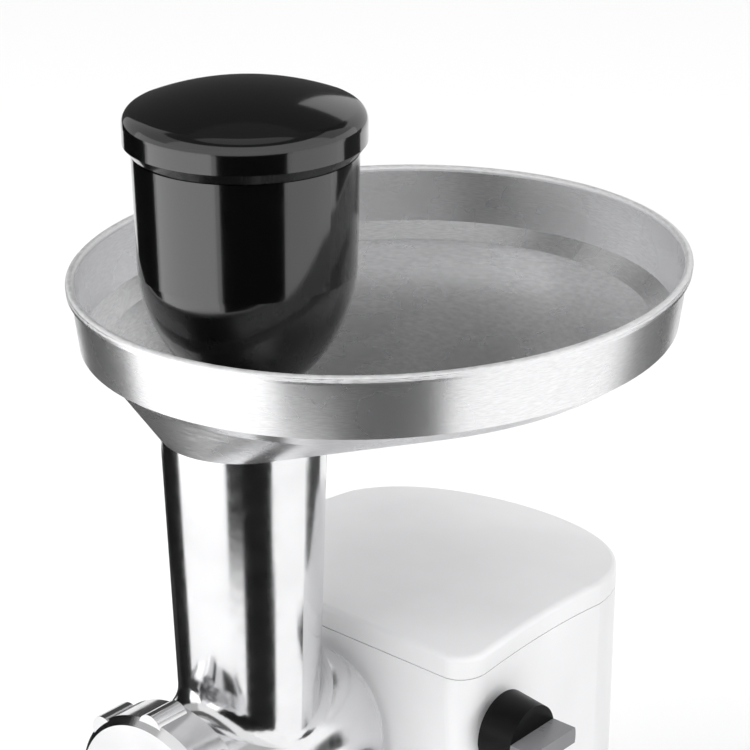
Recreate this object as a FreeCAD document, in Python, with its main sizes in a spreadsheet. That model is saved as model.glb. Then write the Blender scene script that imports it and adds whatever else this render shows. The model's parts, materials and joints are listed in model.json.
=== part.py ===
"""Electric meat grinder: metal feed head and tray on a moulded motor housing, modelled in millimetres.

+Z is up, the table is Z = 0, the barrel axis runs along Y and the outlet faces -Y.
The control knob is on the +X side. The model is drawn with X = 0 in the barrel's plane, and the files are
written with their origin on the table, under the middle of the whole part.
"""
import math
import os
import re

import FreeCAD
import Part
import Sketcher
from FreeCAD import Rotation, Vector

doc = FreeCAD.newDocument("meat_grinder")
sheet = doc.addObject("Spreadsheet::Sheet", "Sheet")

# Driving dimensions, in millimetres, degrees and counts
SIZES = {
    # Head: vertical feed tube on a horizontal barrel
    "overcut": 1, "motor_floor_gap": 3.2, "tube_y": -75, "tube_height": 146, "tube_top_radius": 32.2,
    "tube_foot_radius": 27.5, "tube_bore": 25.2, "tube_mouth_radius": 28.5, "mouth_clearance": 0.5,
    "barrel_radius": 35, "barrel_bore": 27, "barrel_front": -128, "collar_radius": 25,
    "barrel_gap": 1.5, "barrel_back_wall": 6, "barrel_fillet": 9,
    # Parts held in the barrel
    "screw_core_radius": 10, "screw_tail_radius": 9, "flight_thickness": 4, "flight_pitch": 23,
    "flight_turns": 2.7, "screw_clearance": 0.6, "blade_thickness": 7, "blade_width": 11,
    "plate_thickness": 6, "plate_hole_radius": 3, "spigot_radius": 5, "running_clearance": 0.05,
    "nut_outer_radius": 41, "nut_lip": 4, "nut_mouth_radius": 24, "nut_length": 19,
    "nut_grip_radius": 6, "nut_grips": 8, "thread_gap": 0.3, "washer_thickness": 2.5,
    "washer_overhang": 5, "nut_chamfer": 3, "nut_grip_inset": 2, "nut_grip_sink": 3, "plate_proud": 0.5,
    "plate_radius": 30, "plate_ring_inner": 13, "plate_ring_outer": 21.5, "plate_holes_inner": 9,
    "plate_holes_outer": 16, "blade_gap": 0.3, "blade_radius": 24, "blade_hub_radius": 9,
    "flight_root": 1,
    # Tray
    "tray_half_width": 116, "tray_half_length": 129, "tray_centre_y": 76, "tray_turn": -4,
    "tray_wall": 1.4, "tray_wall_height": 25, "tray_rim_height": 50, "tray_wall_draft": 3,
    "tray_ledge": 8, "tray_collar_length": 14, "tray_foot_drop": 6, "tray_seat": 0.6,
    "tray_throat_radius": 26.8, "tray_throat_round": 1.5, "rim_bead": 1.4, "rim_bead_height": 2.4,
    # Pusher
    "pusher_lift": 26, "pusher_lean_x": 2.2, "pusher_lean_y": 2, "pusher_radius": 42.2, "pusher_wall": 2.6,
    "pusher_body_height": 45,
    "pusher_bowl_height": 41, "pusher_draft": 0.9, "bowl_bulge": 3.2, "stem_radius": 22,
    "stem_length": 95, "stem_round": 2, "lid_radius": 45.2, "lid_lip_height": 11, "lid_slope": 22,
    "lid_wall": 2.5, "lid_clearance": 0.3, "lid_spigot": 8, "lid_chamfer": 4, "lid_edge_round": 6,
    "lid_crown_wall": 3, "lid_seat": 0.3,
    # Housing
    "front_y": -27, "back_y": 125, "side_end_y": 66, "top_half_width": 75, "waist_half_width": 77,
    "skirt_half_width": 85, "foot_half_width": 98, "rear_half_width": 71, "waist_below_axis": 8,
    "skirt_height": 78, "corner_radius": 12, "housing_wall": 3, "base_gap": 6, "seam_above_axis": 41.5,
    "arch_radius": 416, "arch_centre_y": 16, "cover_height": 10, "seam_gap": 0.4, "cover_round": 2.5,
    "outlet_radius": 29.7, "outlet_length": 5, "outlet_round": 2, "base_plate_thickness": 3,
    "foot_radius": 9, "foot_draft": 1, "foot_inset": 14, "foot_inset_front": 26, "foot_rear": 8,
    "base_fit": 0.3, "boss_inset": 5, "boss_radius": 6, "boss_height": 18, "screw_length": 14,
    "base_vents": 9, "base_vent_length": 30, "base_vent_y": 40, "cover_wall": 2.5, "tongue_depth": 3,
    "screw_radius": 2.5, "screw_head_radius": 4, "screw_head_height": 2.5, "vent_width": 3.5,
    "vent_height": 34, "vent_count": 7, "vent_step": 8, "vent_bottom": 40, "gland_height": 26,
    "gland_radius": 8, "gland_bore": 4, "gland_length": 9, "gland_flange": 2, "boss_angle": 45,
    # Knob and switch
    "knob_y": -9, "knob_above_axis": 15, "knob_radius": 16, "knob_length": 15, "bar_length": 11,
    "bar_width": 7, "knob_taper": 1.5, "knob_face_x": 78, "switch_shaft_radius": 3, "shaft_gap": 0.8,
    "shaft_land": 3, "switch_size": 26, "switch_depth": 14, "switch_inset": 7,
    # Release button
    "button_x": 52, "button_below_axis": 16, "button_radius": 9, "button_stand": 6,
    "button_stem_radius": 4, "button_stem_length": 17, "spring_wire": 0.6, "spring_radius": 6,
    "spring_turns": 5, "button_clearance": 0.3, "button_depth": 2, "guide_wall": 2, "guide_length": 18,
    "spring_end_gap": 0.3,
    # Gear train
    "teeth_small": 14, "teeth_large": 48, "module_out": 1.25, "module_mid": 1.0, "module_motor": 0.8,
    "face_out": 11, "face_mid": 8, "face_motor": 6, "face_gap": 3, "tooth_backlash": 0.16,
    "out_angle": -120, "mid_angle": -60, "motor_angle": -80, "drive_shaft_radius": 8,
    "gear_shaft_radius": 4, "case_wall": 3, "case_gap": 2.5, "drive_hex": 10, "drive_hex_gap": 0.25,
    "drive_depth": 12, "bush_wall": 3, "case_ear": 5, "case_screw_radius": 1.7, "case_head_radius": 3,
    # Motor
    "stator_radius": 33, "stator_length": 36, "stator_bore": 19, "rotor_gap": 0.6,
    "rotor_shaft_radius": 3, "coil_thickness": 7, "coil_length": 9, "bracket_thickness": 4,
    "bearing_radius": 8, "bearing_length": 6, "commutator_radius": 10, "commutator_length": 12,
    "brush_width": 5, "brush_length": 9, "brush_gap": 0.3, "holder_wall": 1.5, "fan_radius": 24,
    "fan_length": 9, "fan_blades": 11, "fan_blade_thickness": 1.6, "motor_end_gap": 3, "post_gap": 4,
    "post_radius": 3, "lug_wall": 2, "coil_inset": 2, "bracket_height": 30, "holder_gap": 1.5,
    "fan_hub_radius": 8, "fan_disc": 1.5, "fan_blade_sink": 0.5,
}


def cell_of(row):
    """Spreadsheet cell address for a row number."""
    return "B%d" % row


# Heights that follow from the gear train, which stands on the motor
DERIVED = {
    "train_rise": "-(teeth_small + teeth_large) / 2 * (module_out * sin(out_angle)"
                  " + module_mid * sin(mid_angle) + module_motor * sin(motor_angle))",
    "axis_height": "base_gap + base_plate_thickness + motor_floor_gap + stator_radius + train_rise",
    "seam_height": "axis_height + seam_above_axis",
    "waist_height": "axis_height - waist_below_axis",
}

for row, (alias, number) in enumerate(SIZES.items(), start=1):
    sheet.set("A%d" % row, alias)
    sheet.set(cell_of(row), str(number))
    sheet.setAlias(cell_of(row), alias)
for row, (alias, formula) in enumerate(DERIVED.items(), start=len(SIZES) + 1):
    sheet.set("A%d" % row, alias)
    sheet.set(cell_of(row), "=" + formula)
    sheet.setAlias(cell_of(row), alias)
doc.recompute()

ALIASES = sorted([*SIZES, *DERIVED], key=len, reverse=True)
ALIAS_PATTERN = re.compile(r"\b(" + "|".join(ALIASES) + r")\b")


def size(alias):
    """Value of a driving dimension, read from the sheet."""
    return float(sheet.get(alias))


def bound(text):
    """Expression text with every alias pointed at the sheet."""
    return ALIAS_PATTERN.sub(r"Sheet.\1", text)


def bind(item, **expressions):
    """Tie properties of an object to expressions of the sheet's cells."""
    for name, text in expressions.items():
        item.setExpression(name, bound(text))


def place(item, x="0", y="0", z="0", rotation=None):
    """Put an object at a place given by expressions, after turning it."""
    if rotation is not None:
        item.Placement = FreeCAD.Placement(Vector(0, 0, 0), rotation)
    item.setExpression("Placement.Base.x", bound(x))
    item.setExpression("Placement.Base.y", bound(y))
    item.setExpression("Placement.Base.z", bound(z))


FULL_TURN = 360.0
HALF_TURN = 180.0
QUARTER_TURN = 90.0
ALONG_X = Rotation(Vector(0, 1, 0), QUARTER_TURN)
ALONG_Y = Rotation(Vector(1, 0, 0), -QUARTER_TURN)
ALONG_Z = Rotation()
TOWARDS_FRONT = Rotation(Vector(1, 0, 0), QUARTER_TURN)
HEX_SIDES = 6
HALF_ROOT = math.sqrt(1 / 2)
EDGE_MATCH = 0.01
counter = {"n": 0}
nodes = []


def fresh(stem):
    """Document name that is not in use."""
    counter["n"] += 1
    return "%s_%d" % (stem, counter["n"])


def node(item, label):
    """Name a finished sub-part, so that its file is written."""
    item.Label = label
    nodes.append(item)
    return item


def cylinder(radius, length, x="0", y="0", z="0", turn=ALONG_Z):
    item = doc.addObject("Part::Cylinder", fresh("cylinder"))
    bind(item, Radius=radius, Height=length)
    place(item, x, y, z, turn)
    return item


def cone(radius_low, radius_high, length, x="0", y="0", z="0", turn=ALONG_Z):
    item = doc.addObject("Part::Cone", fresh("cone"))
    bind(item, Radius1=radius_low, Radius2=radius_high, Height=length)
    place(item, x, y, z, turn)
    return item


def box(length, width, height, x="0", y="0", z="0"):
    """Box whose place is its lowest corner."""
    item = doc.addObject("Part::Box", fresh("box"))
    bind(item, Length=length, Width=width, Height=height)
    place(item, x, y, z)
    return item


def prism(across_flats, length, x, y, z, turn):
    """Hexagonal bar."""
    item = doc.addObject("Part::Prism", fresh("prism"))
    item.Polygon = HEX_SIDES
    bind(item, Circumradius="(%s) / sqrt(3)" % across_flats, Height=length)
    place(item, x, y, z, turn)
    return item


def cut(base, *tools):
    for tool in tools:
        item = doc.addObject("Part::Cut", fresh("cut"))
        item.Base = base
        item.Tool = tool
        base = item
    return base


def fuse(*shapes):
    item = doc.addObject("Part::MultiFuse", fresh("fuse"))
    item.Shapes = list(shapes)
    return item


def common(base, tool):
    item = doc.addObject("Part::Common", fresh("common"))
    item.Base = base
    item.Tool = tool
    return item


def group(*shapes):
    item = doc.addObject("Part::Compound", fresh("group"))
    item.Links = list(shapes)
    return item


def feature(shape, stem="shape"):
    """Object for a shape made from the sheet's sizes."""
    item = doc.addObject("Part::Feature", fresh(stem))
    item.Shape = shape
    return item


def sketch_polygon(body, role, points):
    """Closed sketch whose corners are set by expressions of the sheet."""
    sketch = body.newObject("Sketcher::SketchObject", fresh("sketch"))
    plane = [f for f in body.Origin.OriginFeatures if f.Role == role][0]
    sketch.AttachmentSupport = [(plane, "")]
    sketch.MapMode = "FlatFace"
    places = [(evaluate(x), evaluate(y)) for x, y in points]
    count = len(points)
    for index in range(count):
        start = places[index]
        end = places[(index + 1) % count]
        sketch.addGeometry(Part.LineSegment(Vector(start[0], start[1], 0), Vector(end[0], end[1], 0)), False)
    for index in range(count):
        sketch.addConstraint(Sketcher.Constraint("Coincident", index, 2, (index + 1) % count, 1))
    for index, (x, y) in enumerate(points):
        for kind, text, value in (("DistanceX", x, places[index][0]), ("DistanceY", y, places[index][1])):
            number = sketch.addConstraint(Sketcher.Constraint(kind, -1, 1, index, 1, value))
            sketch.setExpression("Constraints[%d]" % number, bound(text))
    return sketch


def evaluate(text):
    """Number that an expression of the sheet's cells has now."""
    return float(sheet.evalExpression(bound(text)))


def revolved(label, points, y="0", z="0", x="0", turn=ALONG_Z):
    """Body turned about its own axis from corners given as (radius, station)."""
    body = doc.addObject("PartDesign::Body", fresh(label))
    sketch = sketch_polygon(body, "XZ_Plane", points)
    doc.recompute()
    turned = body.newObject("PartDesign::Revolution", fresh("revolution"))
    turned.Profile = sketch
    turned.ReferenceAxis = (sketch, ["V_Axis"])
    turned.Angle = FULL_TURN
    place(body, x, y, z, turn)
    return body


def polar(distance, degrees):
    """Offset in X and Z for a distance and an angle in the gear plane."""
    turn = math.radians(degrees)
    return Vector(distance * math.cos(turn), 0, distance * math.sin(turn))


def along_y(shape, place_vector):
    """Shape made along +Z, turned to run along +Y and moved."""
    shape.Placement = FreeCAD.Placement(place_vector, ALONG_Y)
    return shape


# Heights that several pieces share
TUBE_TOP = "axis_height + tube_height"
CASE_FRONT = "front_y + housing_wall"
OUT_FACE = CASE_FRONT + " + case_wall + case_gap"
MID_FACE = OUT_FACE + " + face_out + face_gap"
MOTOR_FACE = MID_FACE + " + face_mid + face_gap"
COVER_FACE = MOTOR_FACE + " + face_motor + case_gap"
COVER_BACK = COVER_FACE + " + case_wall"
STATOR_FRONT = COVER_BACK + " + motor_end_gap + coil_length"
STATOR_BACK = STATOR_FRONT + " + stator_length"
COMMUTATOR_FRONT = STATOR_BACK + " + coil_length + motor_end_gap"
BRACKET_FACE = COMMUTATOR_FRONT + " + commutator_length + motor_end_gap"
FAN_FACE = BRACKET_FACE + " + bracket_thickness + motor_end_gap"
BARREL_BACK = "front_y - outlet_length - barrel_gap"
NUT_FRONT = "barrel_front - plate_proud - nut_lip"
PLATE_FRONT = "barrel_front - plate_proud"
BLADE_FRONT = PLATE_FRONT + " + plate_thickness + blade_gap"
SCREW_FRONT = BLADE_FRONT + " + blade_thickness"
BORE_BACK = BARREL_BACK + " - barrel_back_wall"
SCREW_BACK = BORE_BACK + " - washer_thickness - thread_gap"

# Gear shaft places in X and Z, from the barrel axis down to the motor
HALF_TEETH = (size("teeth_small") + size("teeth_large")) / 2
OUT_AXIS = Vector(0, 0, size("axis_height"))
MID_AXIS = OUT_AXIS + polar(HALF_TEETH * size("module_out"), size("out_angle"))
FIRST_AXIS = MID_AXIS + polar(HALF_TEETH * size("module_mid"), size("mid_angle"))
MOTOR_AXIS = FIRST_AXIS + polar(HALF_TEETH * size("module_motor"), size("motor_angle"))


def xz(axis):
    """Expressions for the X and Z of a gear shaft."""
    return {"x": repr(axis.x), "z": repr(axis.z)}


# Head: feed tube and barrel in one casting
def grinder_head():
    axis = Vector(0, size("tube_y"), size("axis_height"))
    tube = Part.makeCone(size("tube_foot_radius"), size("tube_top_radius"), size("tube_height"), axis)
    barrel_length = evaluate(BARREL_BACK) - size("barrel_front")
    barrel = Part.makeCylinder(size("barrel_radius"), barrel_length,
                               Vector(0, size("barrel_front"), size("axis_height")), Vector(0, 1, 0))
    casting = tube.fuse(barrel).removeSplitter()
    shoulder = size("axis_height") + size("barrel_radius")
    joint = [e for e in casting.Edges if e.BoundBox.ZMin > size("axis_height") + size("overcut")
             and e.BoundBox.ZMax < shoulder + size("overcut")
             and e.BoundBox.XLength > size("tube_foot_radius")
             and e.BoundBox.YLength > size("tube_foot_radius")]
    casting = casting.makeFillet(size("barrel_fillet"), joint)
    body = feature(casting, "casting")
    rear = BARREL_BACK
    collar = cylinder("collar_radius", "outlet_length + barrel_gap + housing_wall - thread_gap",
                      y=rear, z="axis_height", turn=ALONG_Y)
    bores = (
        cylinder("tube_bore", "tube_height + overcut", y="tube_y", z="axis_height"),
        cylinder("tube_mouth_radius", "tray_collar_length + mouth_clearance + overcut", y="tube_y",
                 z=TUBE_TOP + " - tray_collar_length - mouth_clearance"),
        cylinder("barrel_bore", BORE_BACK + " - barrel_front + overcut", y="barrel_front - overcut",
                 z="axis_height",
                 turn=ALONG_Y),
        cylinder("plate_radius + running_clearance", "plate_thickness - plate_proud + overcut",
                 y="barrel_front - overcut", z="axis_height", turn=ALONG_Y),
        cylinder("screw_tail_radius + running_clearance",
                 "barrel_back_wall + outlet_length + barrel_gap + housing_wall + 2 * overcut",
                 y=BORE_BACK + " - overcut", z="axis_height",
                 turn=ALONG_Y),
    )
    return cut(fuse(body, collar), *bores)


node(grinder_head(), "grinder_head")


# Ring nut with grip lobes round its rim
def ring_nut():
    ring = revolved("nut_ring", [
        ("nut_mouth_radius", "0"), ("nut_outer_radius - nut_chamfer", "0"), ("nut_outer_radius",
                                                                             "nut_chamfer"),
        ("nut_outer_radius", "nut_length"), ("barrel_radius + thread_gap", "nut_length"),
        ("barrel_radius + thread_gap", "nut_lip"), ("nut_mouth_radius", "nut_lip")],
        y=NUT_FRONT, z="axis_height", turn=ALONG_Y)
    lobes = []
    for index in range(int(size("nut_grips"))):
        angle = "%r * %d / nut_grips" % (FULL_TURN, index)
        lobes.append(cylinder("nut_grip_radius", "nut_length - nut_grip_inset * 2",
                              x="(nut_outer_radius - nut_grip_sink) * cos(%s)" % angle,
                              y=NUT_FRONT + " + nut_grip_inset",
                              z="axis_height + (nut_outer_radius - nut_grip_sink) * sin(%s)" % angle,
                              turn=ALONG_Y))
    hollow = cylinder("barrel_radius + thread_gap", "nut_length", y=NUT_FRONT + " + nut_lip", z="axis_height",
                      turn=ALONG_Y)
    return cut(fuse(ring, *lobes), hollow)


node(ring_nut(), "ring_nut")


# Mincing plate with rings of holes
def mincing_plate():
    disc = cylinder("plate_radius", "plate_thickness", y=PLATE_FRONT, z="axis_height", turn=ALONG_Y)
    holes = [cylinder("spigot_radius + running_clearance", "plate_thickness + 2 * overcut",
                      y=PLATE_FRONT + " - overcut",
                      z="axis_height", turn=ALONG_Y)]
    for ring, count in (("plate_ring_inner", "plate_holes_inner"), ("plate_ring_outer", "plate_holes_outer")):
        for index in range(int(size(count))):
            angle = "%r * %d / %s" % (FULL_TURN, index, count)
            holes.append(cylinder("plate_hole_radius", "plate_thickness + 2 * overcut",
                                  x="%s * cos(%s)" % (ring, angle),
                                  y=PLATE_FRONT + " - overcut", z="axis_height + %s * sin(%s)" % (ring,
                                                                                                  angle),
                                  turn=ALONG_Y))
    return cut(disc, fuse(*holes))


node(mincing_plate(), "mincing_plate")


# Cutter with four wings on the screw's spigot
def cutter_blade():
    hub = cylinder("blade_hub_radius", "blade_thickness", y=BLADE_FRONT, z="axis_height", turn=ALONG_Y)
    span = box("blade_radius * 2", "blade_thickness", "blade_width", x="-blade_radius", y=BLADE_FRONT,
               z="axis_height - blade_width / 2")
    rise = box("blade_width", "blade_thickness", "blade_radius * 2", x="-blade_width / 2", y=BLADE_FRONT,
               z="axis_height - blade_radius")
    bore = cylinder("spigot_radius", "blade_thickness + 2 * overcut", y=BLADE_FRONT + " - overcut",
                    z="axis_height", turn=ALONG_Y)
    return cut(fuse(hub, span, rise), bore)


node(cutter_blade(), "cutter_blade")


# Feed screw: core, helical flight, front spigot, tail and drive hexagon
def feed_screw():
    front = evaluate(SCREW_FRONT)
    back = evaluate(SCREW_BACK)
    flight_radius = size("barrel_bore") - size("screw_clearance")
    height = size("flight_pitch") * size("flight_turns")
    start = front + (back - front - height) / 2
    helix = Part.makeHelix(size("flight_pitch"), height, flight_radius)
    half = size("flight_thickness") / 2
    inner = size("screw_core_radius") - size("flight_root")
    corners = [Vector(inner, 0, -half), Vector(flight_radius, 0, -half), Vector(flight_radius, 0, half),
               Vector(inner, 0, half)]
    section = Part.makePolygon(corners + corners[:1])
    flight = Part.Wire(helix.Edges).makePipeShell([section], True, True)
    flight = Part.Solid(flight) if flight.ShapeType == "Shell" else flight
    along_y(flight, Vector(0, start, size("axis_height")))
    item = feature(flight, "flight")
    core = cylinder("screw_core_radius", "(%s) - (%s)" % (SCREW_BACK, SCREW_FRONT), y=SCREW_FRONT,
                    z="axis_height",
                    turn=ALONG_Y)
    spigot = cylinder("spigot_radius", "(%s) - (%s)" % (SCREW_FRONT, PLATE_FRONT), y=PLATE_FRONT,
                      z="axis_height",
                      turn=ALONG_Y)
    tail = cylinder("screw_tail_radius", "(%s) - (%s) - thread_gap" % (CASE_FRONT, SCREW_BACK), y=SCREW_BACK,
                    z="axis_height", turn=ALONG_Y)
    drive = prism("drive_hex", "drive_depth + thread_gap", "0", CASE_FRONT + " - thread_gap",
                  "axis_height", ALONG_Y)
    return fuse(core, item, spigot, tail, drive)


node(feed_screw(), "feed_screw")

node(revolved("washer", [
    ("screw_tail_radius + thread_gap", "0"), ("screw_core_radius + washer_overhang", "0"),
    ("screw_core_radius + washer_overhang", "washer_thickness"),
    ("screw_tail_radius + thread_gap", "washer_thickness")],
    y=SCREW_BACK + " + thread_gap", z="axis_height", turn=ALONG_Y), "screw_washer")


# Tray: egg-shaped spun dish with an upright wall, a sloping floor and a throat collar
def oval(inset, height):
    """Oval wire round the tray's middle, drawn in by an inset."""
    centre = Vector(0, size("tube_y") + size("tray_centre_y"), height)
    far = centre + Vector(0, size("tray_half_length") - inset, 0)
    side = centre + Vector(-(size("tray_half_width") - inset), 0, 0)
    return Part.Wire(Part.Ellipse(far, side, centre).toShape())


def ring(radius, height):
    """Circle wire round the feed tube's axis that starts at +Y, as the ovals do."""
    centre = Vector(0, size("tube_y"), height)
    circle = Part.makeCircle(radius, centre)
    circle.rotate(centre, Vector(0, 0, 1), QUARTER_TURN)
    return Part.Wire(circle)


def dish(inset, seat_radius, lift, top):
    """Solid under a tray surface that is drawn in by an inset and raised by a lift."""
    rim = evaluate(TUBE_TOP) + size("tray_rim_height")
    foot = rim - size("tray_wall_height")
    draft = size("tray_wall_draft") + inset
    seat = evaluate(TUBE_TOP) + size("thread_gap") + lift
    sections = [ring(seat_radius, seat), oval(draft + size("tray_ledge"),
                                              foot - size("tray_foot_drop") + lift),
                oval(draft, foot + lift), oval(inset, rim + top)]
    return Part.makeLoft(sections, True, True)


def hopper_tray():
    wall = size("tray_wall")
    outer = dish(0, size("tube_top_radius") + size("tray_seat"), 0, 0)
    inner = dish(wall, size("tray_throat_radius") + size("tray_throat_round"), wall, size("overcut"))
    collar_outer = size("tube_mouth_radius") - size("thread_gap")
    seat = evaluate(TUBE_TOP)
    collar = Part.makeCylinder(collar_outer, size("tray_collar_length") + size("overcut"),
                               Vector(0, size("tube_y"), seat - size("tray_collar_length")))
    throat = Part.makeCylinder(size("tray_throat_radius"), 4 * size("tray_collar_length"),
                               Vector(0, size("tube_y"), seat - 2 * size("tray_collar_length")))
    rim = seat + size("tray_rim_height")
    bead = Part.Face(oval(-size("rim_bead"), rim - size("rim_bead_height")))
    bead = bead.extrude(Vector(0, 0, size("rim_bead_height")))
    tray = outer.fuse([bead, collar]).cut([inner, throat])
    tray.rotate(Vector(0, size("tube_y"), 0), Vector(0, 0, 1), size("tray_turn"))
    return feature(tray.removeSplitter(), "tray")


node(hopper_tray(), "hopper_tray")


# Pusher: a hollow turned body whose stem is loose in the tube and leans to one side, and its push-on lid
BOWL_FOOT = TUBE_TOP + " + pusher_lift"


def turned(points, base):
    """Solid turned about the pusher's axis from lines and three-point arcs of (radius, height)."""
    edges = []
    spot = [Vector(r, 0, h + base) for r, h, kind in points]
    kinds = [kind for r, h, kind in points]
    index = 0
    while index < len(spot) - 1:
        if kinds[index + 1] == "through":
            edges.append(Part.Arc(spot[index], spot[index + 1], spot[index + 2]).toShape())
            index += 2
        else:
            edges.append(Part.makeLine(spot[index], spot[index + 1]))
            index += 1
    edges.append(Part.makeLine(spot[-1], spot[0]))
    solid = Part.Face(Part.Wire(edges)).revolve(Vector(0, 0, 0), Vector(0, 0, 1), FULL_TURN)
    solid.translate(Vector(size("pusher_lean_x"), size("tube_y") + size("pusher_lean_y"), 0))
    return solid


def pusher_body():
    base = evaluate(BOWL_FOOT)
    wall = size("pusher_wall")
    stem = size("stem_radius")
    low = size("pusher_radius") - size("pusher_draft")
    bowl = size("pusher_bowl_height")
    top = bowl + size("pusher_body_height")
    bulge = size("bowl_bulge")
    mid = ((stem + low) / 2 + bulge, bowl / 2 - bulge)
    outer = turned([
        (0, -size("stem_length"), ""), (stem - size("stem_round"), -size("stem_length"), ""),
        (stem, size("stem_round") - size("stem_length"), ""), (stem, 0, ""), (mid[0], mid[1], "through"),
        (low, bowl, ""), (size("pusher_radius"), top, ""), (0, top, "")], base)
    inner = turned([
        (0, wall - size("stem_length"), ""), (stem - wall, wall - size("stem_length"), ""), (stem - wall,
                                                                                             wall, ""),
        (mid[0] - wall, mid[1] + wall, "through"), (low - wall, bowl + wall, ""),
        (size("pusher_radius") - wall, top + size("overcut"), ""), (0, top + size("overcut"), "")], base)
    return feature(outer.cut(inner), "pusher")


def dome_arc(radius, foot, slope):
    """Points of a round dome from its edge, where it has a slope in radians, to the axis."""
    sphere = radius / math.sin(slope)
    top = foot + sphere * (1 - math.cos(slope))
    half = slope / 2
    return [(sphere * math.sin(half), top - sphere * (1 - math.cos(half)), "through"), (0, top, "")]


def pusher_lid():
    base = evaluate(BOWL_FOOT) + size("pusher_bowl_height") + size("pusher_body_height") + size("lid_seat")
    radius = size("lid_radius")
    lip = size("lid_lip_height")
    wall = size("lid_wall")
    edge = size("lid_edge_round")
    slope = math.radians(size("lid_slope"))
    halfway = (slope + math.pi / 2) / 2
    crest = radius - edge * (1 - math.sin(slope))
    crest_height = lip + edge * math.cos(slope)
    inner = size("pusher_radius") - size("pusher_wall") - size("lid_clearance")
    over = size("overcut")
    cap = turned([
        (0, 0, ""), (size("pusher_radius"), 0, ""), (radius, size("lid_chamfer"), ""), (radius, lip, ""),
        (radius - edge * (1 - math.sin(halfway)), lip + edge * math.cos(halfway), "through"),
        (crest, crest_height, "")] + dome_arc(crest, crest_height, slope), base)
    spigot = turned([
        (inner - wall, -size("lid_spigot"), ""), (inner, -size("lid_spigot"), ""), (inner, over, ""),
        (inner - wall, over, "")], base)
    ceiling = crest_height - size("lid_crown_wall")
    hollow = turned([
        (0, -over, ""), (inner - wall, -over, ""),
        (inner - wall, ceiling, "")] + dome_arc(inner - wall, ceiling, slope), base)
    return feature(cap.fuse(spigot).cut(hollow).removeSplitter(), "lid")


node(pusher_body(), "pusher_body")
node(pusher_lid(), "pusher_lid")


# Housing: moulded shell, round at the back, that flares to the table at the front corners
def outline(height, half_width, inset):
    """Closed plan outline at a height: front face, sides and a rounded back."""
    front = size("front_y") + inset
    half = half_width - inset
    rear = size("rear_half_width") - inset
    corner = size("corner_radius") - inset
    end = size("side_end_y")
    back = size("back_y") - inset
    swing = corner * (1 - HALF_ROOT)

    def spot(x, y):
        return Vector(x, y, height)

    edges = [
        Part.makeLine(spot(-half + corner, front), spot(half - corner, front)),
        Part.Arc(spot(half - corner, front), spot(half - swing, front + swing),
                 spot(half, front + corner)).toShape(),
        Part.makeLine(spot(half, front + corner), spot(rear, end)),
        Part.Arc(spot(rear, end), spot(0, back), spot(-rear, end)).toShape(),
        Part.makeLine(spot(-rear, end), spot(-half, front + corner)),
        Part.Arc(spot(-half, front + corner), spot(-half + swing, front + swing),
                 spot(-half + corner, front)).toShape(),
    ]
    return Part.Wire(edges)


def housing_form(inset, low, high):
    """Lofted housing form between two heights, drawn in by an inset."""
    stations = [(low, size("foot_half_width")), (size("skirt_height"), size("skirt_half_width")),
                (size("waist_height"), size("waist_half_width")), (high, size("top_half_width"))]
    return Part.makeLoft([outline(z, half, inset) for z, half in stations], True, False)


def arch(radius):
    """Half space under the arched top, as a long drum lying across the housing."""
    drum_half = 2 * size("foot_half_width")
    centre = Vector(-drum_half, size("arch_centre_y"), size("seam_height") - size("arch_radius"))
    drum = Part.makeCylinder(radius, 2 * drum_half, centre, Vector(1, 0, 0))
    drum.rotate(centre, Vector(1, 0, 0), HALF_TURN)
    return drum


FORM_TOP = size("seam_height") + 2 * size("cover_height")
REAR_ARC = "(rear_half_width^2 + (back_y - side_end_y)^2) / (2 * (back_y - side_end_y))"
BOSS_SPOTS = []
for side in ("-1", "1"):
    BOSS_SPOTS.append(("%s * (foot_half_width - housing_wall - boss_inset)" % side,
                       "front_y + housing_wall + boss_inset"))
    BOSS_SPOTS.append(("%s * (%s - housing_wall - boss_inset) * cos(boss_angle)" % (side, REAR_ARC),
                       "back_y - %s + (%s - housing_wall - boss_inset) * sin(boss_angle)" % (REAR_ARC,
                                                                                             REAR_ARC)))


def housing_shell():
    base = size("base_gap")
    outer = housing_form(0, base, FORM_TOP).common(arch(size("arch_radius")))
    inner = housing_form(size("housing_wall"), base, FORM_TOP)
    outer_item = feature(outer, "outer")
    inner_item = feature(inner, "inner")
    bosses = [cylinder("boss_radius", "boss_height", x=x, y=y, z="base_gap + base_plate_thickness")
              for x, y in BOSS_SPOTS]
    guide = cylinder("button_radius + button_clearance + guide_wall", "guide_length", x="button_x",
                     y="front_y + overcut",
                     z="axis_height - button_below_axis", turn=ALONG_Y)
    inside = common(fuse(guide, *bosses), outer_item)
    shell = fuse(cut(outer_item, inner_item), inside)
    holes = [
        cylinder("collar_radius + thread_gap", "housing_wall + 2 * overcut", y="front_y - overcut",
                 z="axis_height", turn=ALONG_Y),
        cylinder("button_radius + button_clearance", "guide_length - guide_wall + 2 * overcut", x="button_x",
                 y="front_y - overcut", z="axis_height - button_below_axis", turn=ALONG_Y),
        cylinder("button_stem_radius + button_clearance", "guide_length + 3 * overcut", x="button_x",
                 y="front_y",
                 z="axis_height - button_below_axis", turn=ALONG_Y),
        cylinder("switch_shaft_radius + shaft_gap", "housing_wall * 4", x="top_half_width - housing_wall * 2",
                 y="knob_y", z="axis_height + knob_above_axis", turn=ALONG_X),
        cylinder("gland_radius", "housing_wall * 6", y="back_y - housing_wall * 4", z="gland_height",
                 turn=ALONG_Y),
    ]
    for index in range(int(size("vent_count"))):
        offset = "(%d - (vent_count - 1) / 2) * vent_step" % index
        holes.append(box("vent_width", "housing_wall * 10", "vent_height", x=offset + " - vent_width / 2",
                         y="back_y - housing_wall * 6", z="vent_bottom"))
    for x, y in BOSS_SPOTS:
        holes.append(cylinder("screw_radius", "boss_height", x=x, y=y, z="base_gap"))
    return cut(shell, fuse(*holes))


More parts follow.
